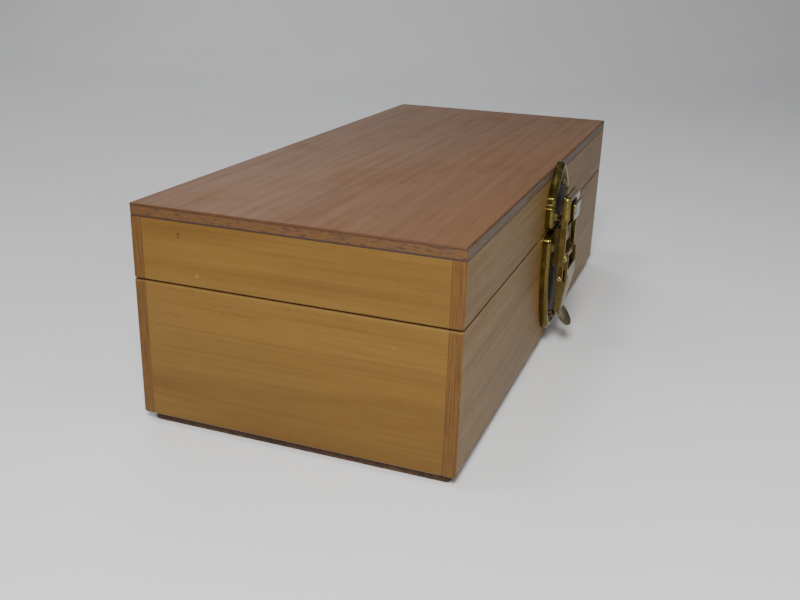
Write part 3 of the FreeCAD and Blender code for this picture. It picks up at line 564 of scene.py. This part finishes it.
def hardboard(name):
    # pressed brown fibre with wide darker stains
    f = Finish(name)
    fibre = f.noise(board["fibre"], (0, 0, 0), 5.0, 0.7)
    patch = f.noise(board["patch"], (4, 4, 4))
    colour = f.mix(f.ease(fibre, *board["deepShare"]), board["pale"], board["deep"])
    colour = f.mix(f.ease(patch, *board["stainShare"]), colour, board["stain"])
    f.dress(Base_Color=colour, Roughness=0.8)
    f.bump(fibre, board["relief"])
    return f


print("bottom board")
low, high = boxOf("bottom_board")
shell = prism(rectangle(low, high), board["corner"], low[2], high[2],
              board["lowRound"], board["highRound"], layUp)
piece("bottom_board_sheet", [shell], "base", ["bottom_board"], hardboard("hardboard"))

metalLooks = {                             # tarnish: from and to; polish: roughness where clean and dull
    # dirtAndShade: the depth in mm out of the front below which painted shade and some tarnish darken the
    # sunk field
    "plateBrass": dict(bright=paint(106, 92, 46), dark=paint(26, 20, 9),
                       tarnish=(0.45, 1.05), polish=(0.15, 0.55), dirtAndShade=(2.1, 2.85)),
    "leverBrass": dict(bright=paint(112, 97, 54), dark=paint(40, 31, 16),
                       tarnish=(0.42, 1.0), polish=(0.26, 0.6)),
    "linkBrass": dict(bright=paint(126, 110, 60), dark=paint(34, 25, 11),
                      tarnish=(0.44, 1.0), polish=(0.13, 0.5)),
    # the bracket's brass is darker: more tarnish, and painted shade for the ears tucked behind the lever and
    # link
    "shadedBracketBrass": dict(bright=paint(96, 80, 42), dark=paint(24, 19, 11),
                         tarnish=(0.34, 0.9), polish=(0.28, 0.65)),
    "pinBrass": dict(bright=paint(176, 160, 118), dark=paint(48, 38, 22),
                     tarnish=(0.45, 0.9), polish=(0.22, 0.45)),
    "hingeBrass": dict(bright=paint(186, 158, 88), dark=paint(84, 64, 32),
                       tarnish=(0.5, 1.0), polish=(0.24, 0.45)),
    "screwBrass": dict(bright=paint(112, 95, 52), dark=paint(38, 29, 15),
                       tarnish=(0.34, 0.85), polish=(0.3, 0.6)),
    "bradSteel": dict(bright=paint(150, 148, 144), dark=paint(70, 52, 40),
                      tarnish=(0.4, 0.8), polish=(0.3, 0.6)),
}
metalGrain = dict(cloud=(230, 230, 230), speck=(1500, 1500, 1500), lines=(300, 300, 2600),
                  facing=(0.75, 0.95), relief=0.03 * mm)


def tarnishedMetal(name, bright, dark, tarnish, polish, dirtAndShade=None):
    # polished metal under cloudy brown tarnish, rougher where it is dull
    f = Finish(name)
    cloud = f.noise(metalGrain["cloud"], (1.0, 5.0, 2.0), 4.0, 0.6, 0.4)
    speck = f.noise(metalGrain["speck"], (3.0, 1.0, 7.0), 3.0, 0.65)
    lines = f.noise(metalGrain["lines"], (2.0, 2.0, 2.0), 3.0, 0.6)
    amount = f.ease(cloud + 0.12 * speck, *tarnish)
    if dirtAndShade:                               # painted shade, with some tarnish, darkens the sunk field, which faces straight outward
        facing = f.node("ShaderNodeSeparateXYZ", {}, {
            "Vector": f.node("ShaderNodeTexCoord", out="Normal")}, out="Y") * -1.0
        out = -1.0 * f.y - carcass["front"]
        sunk = f.ease(out, dirtAndShade[0] * mm, dirtAndShade[1] * mm, 1.0, 0.0)
        amount = amount.most(sunk * f.ease(facing, *metalGrain["facing"]) * (0.75 + 0.4 * cloud))
    f.dress(Base_Color=f.mix(amount, bright, dark), Metallic=1.0 - 0.8 * amount, Specular_IOR_Level=0.25)
    f.dress(Roughness=f.ease(amount + 0.2 * lines, 0.0, 1.1, *polish))
    f.bump(0.6 * cloud + 0.4 * lines, metalGrain["relief"], 0.5)
    return f


print("catch")
metal = {name: tarnishedMetal(name, **look) for name, look in metalLooks.items()}
plateLow, plateHigh = catchBox("latch_base_plate")
strikeLow, strikeHigh = catchBox("strike_plate")
plate = dict(depth=3.0, sheet=0.8, shoulder=1.3, bead=1.75, fieldInset=2.9, fieldDrop=0.8, lip=0.15,
             innerBend=0.3, steps=7)


def bothSides(half):                       # (across, height, radius) up the right side, closed down the left
    whole = half + [(-x, z, r) for x, z, r in half[::-1] if x > 0]
    return [(x, z) for x, z, _ in whole], [r for _, _, r in whole]


def dishedPlate(corners, radii):
    # rings from the hollow's ceiling, down the inside, round the rim, over the bead to the sunk field
    p = plate
    quarter = np.linspace(0, math.pi / 2, p["steps"])
    over = [(p["shoulder"] * (1 - math.cos(a)), p["depth"] - p["shoulder"] * (1 - math.sin(a)))
            for a in quarter]
    fall = [(p["bead"] + (p["fieldInset"] - p["bead"]) * s,
             p["depth"] - p["fieldDrop"] * (1 - math.cos(math.pi * s)) / 2)
            for s in np.linspace(0, 1, p["steps"])]
    sheet, lip, bend = p["sheet"], p["lip"], p["innerBend"]
    inside = p["depth"] - p["fieldDrop"] - sheet
    profile = [(p["fieldInset"], inside), (sheet + bend, inside), (sheet, inside - bend),
               (sheet, 0.05), (lip, 0.0), (0.0, lip)] + over + fall
    return tube([layOut(ring(corners, radii, inset, 9), out) for inset, out in profile])


half, foot = plateHigh[0], plateLow[2]
basePlate = bothSides([                    # a narrow foot, long curved flanks and a square top
    (half * 0.33, foot, 7.0),
    (half * 0.75, foot + 9.5, 25.0),
    (half, foot + 22, 30.0),
    (half, plateHigh[2], 2.7),
])
piece("latch_base_plate_brass", [dishedPlate(*basePlate)], "base",
      ["latch_base_plate"], metal["plateBrass"])

waist = dict(height=9.2, depth=1.7, bead=11.6, beadOut=0.9, apexRise=1.5)
half, foot = strikeHigh[0], strikeLow[2]
strikeOutline = bothSides([                # square at the foot, nipped at the waist, pointed at the top
    (half, foot, 2.6),
    (half, foot + waist["height"] - 0.8, 1.3),
    (half - waist["depth"], foot + waist["height"] + 0.3, 0.7),
    (half - waist["beadOut"], foot + waist["bead"], 1.6),
    (half * 0.5, foot + waist["bead"] + 6.6, 30.0),
    (0.0, strikeHigh[2] + waist["apexRise"], 3.6),
])

hook = dict(root=49.9, sunk=0.4, elbowOut=8.6, elbow=1.4, tipOut=8.7, tip=57.3, thickness=0.95,
            rootHalf=5.0, tipHalf=6.5, lip=0.55, tipRound=0.14)


def hookPath():
    # straight out of the plate, a quarter turn upward, then a rise that leans outward to a lip
    h = hook
    centre = h["elbowOut"] - h["elbow"]
    run = np.linspace(plate["depth"] - plate["fieldDrop"] - h["sunk"], centre, 8)
    a = np.linspace(-math.pi / 2, 0, 10)[1:]
    rise = np.linspace(h["root"] + h["elbow"], h["tip"], 26)[1:]
    s = (rise - rise[0]) / (rise[-1] - rise[0])
    lean = h["elbowOut"] + (h["tipOut"] - h["elbowOut"]) * s + h["lip"] * s ** 6
    out = np.concatenate([run, centre + h["elbow"] * np.cos(a), lean])
    height = np.concatenate([np.full(8, h["root"]), h["root"] + h["elbow"] * (1 + np.sin(a)), rise])
    return np.column_stack([out, height])


def hookHalfWidth(path):                   # widens from the root, then rounds off at the tip
    h = hook
    reach = (path[:, 1] - h["root"]) / (h["tip"] - h["root"])
    widen = h["rootHalf"] + (h["tipHalf"] - h["rootHalf"]) * np.clip(reach * 1.6, 0, 1) ** 0.8
    near = np.clip((reach - 1 + h["tipRound"]) / 0.17, 0, 0.97)
    return widen * (np.sqrt(1 - near ** 2) * 0.35 + 0.65)


path = hookPath()
strikeShells = [dishedPlate(*strikeOutline), strip(path, hookHalfWidth(path), hook["thickness"])]
piece("strike_plate_brass", strikeShells, "lid", ["strike_plate"], metal["plateBrass"])

pivotLow, pivotHigh = catchBox("lever_pivot_pin")
linkPinLow, linkPinHigh = catchBox("lever_link_pin")
pivotOut, pivotUp = ((pivotLow + pivotHigh) / 2)[1:]
linkPinOut, linkPinUp = ((linkPinLow + linkPinHigh) / 2)[1:]
bracketHigh = catchBox("pivot_bracket")[1]
ear = dict(half=bracketHigh[0], top=bracketHigh[2], lug=1.65, out=6.3, foot=32.3, sheet=0.8,
           webLow=41.0, seat=2.4, edge=0.2, gap=0.1)


def pivotBracket():
    # two ears that stand out of the plate beside the lever, joined by a web above it
    e = ear
    side = [(e["seat"], e["foot"]), (pivotOut + e["lug"], pivotUp - e["lug"] - 0.5),
            (pivotOut + e["lug"], pivotUp + e["lug"]), (e["out"], pivotUp + e["lug"] + 0.6),
            (e["out"], e["top"]), (e["seat"], e["top"])]
    radii = [0.5, 1.7, 1.5, 0.5, 0.7, 0.3]
    starts = (-e["half"], e["half"] - e["sheet"])
    shells = [prism(side, radii, start, start + e["sheet"], e["edge"], e["edge"], layAcross)
              for start in starts]
    wide, webTop = e["half"] - e["gap"], e["top"] - e["gap"]
    web = [(-wide, e["webLow"]), (wide, e["webLow"]), (wide, webTop), (-wide, webTop)]
    shells.append(prism(web, 0.4, e["out"] - e["sheet"], e["out"] - 0.02, 0.2, 0.3, layOut))
    return shells


piece("pivot_bracket_brass", pivotBracket(), "base", ["pivot_bracket"],
      metal["shadedBracketBrass"])


def roundPin(out, height, radius, start, end, lowRound, highRound):
    # a square whose corners are rounded to a circle, carried along X
    corners = [(out - radius, height - radius), (out + radius, height - radius),
               (out + radius, height + radius), (out - radius, height + radius)]
    return prism(corners, radius * 0.999, start, end, lowRound, highRound, layAcross)


pin = dict(shaft=0.78, overlap=0.1, headDepth=0.4, head=(pivotHigh[2] - pivotLow[2]) / 2, dome=0.36,
           flat=0.02, linkShaft=0.54, rivet=0.9, rivetDome=0.3)
headEnd = pivotHigh[0]
headAt = headEnd - pin["headDepth"]
shaftEnd = headAt + pin["overlap"]
pinShells = [
    roundPin(pivotOut, pivotUp, pin["shaft"], -shaftEnd, shaftEnd, 0.05, 0.05),
    roundPin(pivotOut, pivotUp, pin["head"], headAt, headEnd, pin["flat"], pin["dome"]),
    roundPin(pivotOut, pivotUp, pin["head"], -headEnd, -headAt, pin["dome"], pin["flat"]),
]
piece("lever_pivot_pin_round", pinShells, "base", ["lever_pivot_pin"], metal["pinBrass"])

lever = dict(half=catchBox("lever")[1][0], sheet=0.8, foot=13.6, knee=27.0, webTop=31.8, lug=1.7,
             footHalf=4.0, footOut=6.7, footInner=4.3, kneeInner=4.6, bend=0.85, innerBend=0.2,
             edge=0.15, curl=0.45)
tab = dict(out=7.65, up=10.8, tilt=34.0, halfWidth=5.8, halfLength=4.7, sheet=0.8, scoop=0.35, flare=0.02)


def leverChannel():
    # a U section carried up the lever, narrow at the foot and full width at the knee
    p = lever
    levels = np.linspace(p["foot"], p["webTop"], 26)
    share = np.clip((levels - p["foot"]) / (p["knee"] - p["foot"]), 0, 1)
    swell = share * share * (3 - 2 * share) * p["curl"] + share * (1 - p["curl"])
    t, edge, bend, inside = p["sheet"], p["edge"], p["bend"], p["innerBend"]
    radii = [edge, bend, bend, edge, edge, inside, inside, edge]
    rings = []
    for level, s in zip(levels, swell):
        w = p["footHalf"] + (p["half"] - p["footHalf"]) * s
        face = p["footOut"] + (pivotOut + p["lug"] - p["footOut"]) * s
        inner = p["footInner"] + (p["kneeInner"] - p["footInner"]) * s
        corners = [(w, inner), (w, face), (-w, face), (-w, inner),
                   (t - w, inner), (t - w, face - t), (w - t, face - t), (w - t, inner)]
        flat = ring(corners, radii, 0.0, 6)
        rings.append(outward(np.column_stack([flat, np.full(len(flat), level)])))
    return tube(rings)


def leverLug(start):
    # a side of the lever round both of its pins
    p = lever
    inner, face = linkPinOut - p["lug"], pivotOut + p["lug"]
    side = [(inner, p["knee"] - 2), (face, p["knee"] - 0.4), (face, pivotUp + p["lug"]),
            (pivotOut - p["lug"], pivotUp + p["lug"])]
    return prism(side, [0.3, 0.3, 1.65, 1.65], start, start + p["sheet"], 0.18, 0.18, layAcross)


def thumbTab():
    # an oval plate with a rounded rim, scooped towards its middle, leaning outward at its foot
    p = tab
    lean = math.radians(p["tilt"])
    rim = np.linspace(-math.pi / 2, math.pi / 2, 9)
    half = p["sheet"] / 2
    spokes = np.linspace(0.04, 0.9, 9)     # from near the middle to near the rim
    share = np.concatenate([spokes, 1 - half / p["halfLength"] * (1 - np.cos(rim)), spokes[::-1]])
    lift = np.concatenate([np.full(9, -half), half * np.sin(rim), np.full(9, half)])
    lift = lift - p["scoop"] * (1 - np.minimum(share, 1) ** 2)
    around = np.linspace(0, 2 * math.pi, 56, endpoint=False)
    x = p["halfWidth"] * share[:, None] * np.cos(around)
    along = p["halfLength"] * share[:, None] * np.sin(around)
    flare = lift[:, None] + p["flare"] * along ** 2 * (along > 0)
    out = p["out"] + along * math.sin(lean) + flare * math.cos(lean)
    height = p["up"] - along * math.cos(lean) + flare * math.sin(lean)
    return tube(outward(np.stack([x, out, height], -1)))


lugs = [leverLug(start) for start in (-lever["half"], lever["half"] - lever["sheet"])]
leverShells = [leverChannel(), *lugs, thumbTab()]
piece("lever_brass", leverShells, "lever", ["lever"], metal["leverBrass"])
linkPinHalf = linkPinHigh[0]
linkPinShell = roundPin(linkPinOut, linkPinUp, pin["linkShaft"], -linkPinHalf, linkPinHalf, 0.2, 0.2)
piece("lever_link_pin_round", [linkPinShell], "lever", ["lever_link_pin"],
      metal["pinBrass"])

linkLow, linkHigh = catchBox("link")
link = dict(half=linkHigh[0], end=linkLow[2], top=linkHigh[2], arm=0.8, depth=2.6, inner=5.0, outer=8.0,
            barLow=51.0, bend=1.42, fold=0.5, edge=0.25, overlap=0.8, armRound=1.28)


def foldedBar():
    # the cross bar: a sheet folded over at the top and bent back at both ends, its plan carried up
    p = link
    half = p["half"] * mm
    face, back = -carcass["front"] - p["outer"] * mm, -carcass["front"] - p["inner"] * mm
    bend, fold = p["bend"] * mm, p["fold"] * mm
    low, high = (carcass["low"] + p[key] * mm for key in ("barLow", "top"))
    return prism(rectangle((-half, face), (half, back)), [bend, bend, fold, fold], low, high,
                 fold, bend, layUp, 8)


def linkArm(start):
    # a flat arm with a round lower end, from below its pin up into the bar
    p = link
    inner, outer = linkPinOut - p["depth"] / 2, linkPinOut + p["depth"] / 2
    top = p["barLow"] + p["overlap"]
    side = [(inner, p["end"]), (outer, p["end"]), (outer, top), (inner, top)]
    return prism(side, [p["armRound"], p["armRound"], 0.3, 0.3], start, start + p["arm"],
                 p["edge"], p["edge"], layAcross)


linkShells = [foldedBar(), linkArm(-link["half"]), linkArm(link["half"] - link["arm"])]
piece("link_brass", linkShells, "link", ["link"], metal["linkBrass"])
rivetEnd = catchBox("link_rivets")[1][0]
rivetShells = [
    roundPin(linkPinOut, linkPinUp, pin["rivet"], link["half"], rivetEnd, pin["flat"], pin["rivetDome"]),
    roundPin(linkPinOut, linkPinUp, pin["rivet"], -rivetEnd, -link["half"], pin["rivetDome"], pin["flat"]),
]
piece("link_rivets_round", rivetShells, "link", ["link_rivets"], metal["pinBrass"])

print("hinges, screws and brads")
keptNodes = {
    "strike_screws": "screwBrass", "latch_base_screws": "screwBrass", "bottom_brads": "bradSteel",
    "hinge_base_screws": "screwBrass", "hinge_lid_screws": "screwBrass",
}
for side in ("left", "right"):
    for part in ("hinge_base_leaf", "hinge_lid_leaf", "hinge_pin"):
        keptNodes[f"{side}_{part}"] = "hingeBrass"
for name, finish in keptNodes.items():
    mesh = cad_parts[name].data
    mesh.materials.clear()
    mesh.materials.append(metal[finish].material)

print("studio")
floor = dict(front=1.2, back=0.75, radius=0.5, rise=1.5, halfWidth=5.0, turn=20,
             pale=paint(222, 222, 222), deep=paint(212, 212, 213), patch=(9, 9, 9))


def sweptFloor(name):
    # a flat floor that turns up in a wide curve into a backdrop, as one smooth sheet
    p = floor
    a = np.linspace(0, math.pi / 2, 24)[1:]
    flat = np.linspace(-p["front"], p["back"], 12)
    depth = np.concatenate([flat, p["back"] + p["radius"] * np.sin(a), [p["back"] + p["radius"]]])
    height = np.concatenate([np.zeros(12), p["radius"] * (1 - np.cos(a)), [p["radius"] + p["rise"]]])
    x, d = np.meshgrid(np.linspace(-p["halfWidth"], p["halfWidth"], 8), depth)
    z = np.broadcast_to(height[:, None], x.shape)
    turn = math.radians(p["turn"])         # square to the camera's line of sight
    points = np.stack([d * math.cos(turn) - x * math.sin(turn),
                       d * math.sin(turn) + x * math.cos(turn), z], -1)
    count, across = x.shape
    i, j = np.meshgrid(np.arange(count - 1), np.arange(across - 1), indexing="ij")
    near, far = i * across + j, (i + 1) * across + j
    faces = np.stack([near, near + 1, far + 1, far], -1)
    mesh = bpy.data.meshes.new(name)
    mesh.from_pydata(points.reshape(-1, 3).tolist(), [], faces.reshape(-1, 4).tolist())
    mesh.shade_smooth()
    thing = bpy.data.objects.new(name, mesh)
    scene.collection.objects.link(thing)
    cloth = Finish("paleCloth")
    cloth.dress(Base_Color=cloth.mix(cloth.noise(p["patch"]), p["pale"], p["deep"]), Roughness=0.85)
    mesh.materials.append(cloth.material)


sweptFloor("pale_floor")

room = dict(colour=(0.93, 0.96, 1.0, 1), strength=0.165)
world = bpy.data.worlds.new("softRoom")
scene.world = world
world.use_nodes = True
background = world.node_tree.nodes["Background"]
background.inputs["Color"].default_value = room["colour"]
background.inputs["Strength"].default_value = room["strength"]

lamps = {                                  # place, size, watts, colour
    "key": ((-0.45, -0.13, 0.42), 0.20, 4.6, (1.0, 0.985, 0.96)),
    "overhead": ((-0.26, 0.34, 1.2), 0.3, 3.2, (0.97, 0.98, 1.0)),
    "frontFill": ((-0.10, -1.10, 0.60), 0.5, 2.6, (0.96, 0.98, 1.0)),
    "backFill": ((0.75, 0.60, 0.9), 0.8, 4.0, (0.96, 0.98, 1.0)),
}
aim = Vector((0, 0, 0.03))
for name, (place, size, watts, colour) in lamps.items():
    data = bpy.data.lights.new(name, "AREA")
    data.shape, data.size, data.energy, data.color = "DISK", size, watts, colour
    lamp = bpy.data.objects.new(name, data)
    facing = (aim - Vector(place)).to_track_quat("-Z", "Y").to_matrix().to_4x4()
    lamp.matrix_world = Matrix.Translation(place) @ facing
    scene.collection.objects.link(lamp)

view = dict(place=(-0.33576, -0.11351, 0.14180), yaw=19.963, down=20.398, roll=1.737, lens=40.52)
yaw, down, roll = (math.radians(view[key]) for key in ("yaw", "down", "roll"))
ahead = Vector((math.cos(down) * math.cos(yaw), math.cos(down) * math.sin(yaw), -math.sin(down)))
level = ahead.cross(Vector((0, 0, 1))).normalized()
upright = level.cross(ahead)
right = math.cos(roll) * level + math.sin(roll) * upright
above = -math.sin(roll) * level + math.cos(roll) * upright
cameraData = bpy.data.cameras.new("camera")
cameraData.sensor_width, cameraData.lens = 36, view["lens"]
cameraData.clip_start = 0.01
camera = bpy.data.objects.new("camera", cameraData)
turned = Matrix((right, above, -ahead)).transposed().to_4x4()
camera.matrix_world = Matrix.Translation(view["place"]) @ turned
scene.collection.objects.link(camera)
scene.camera = camera
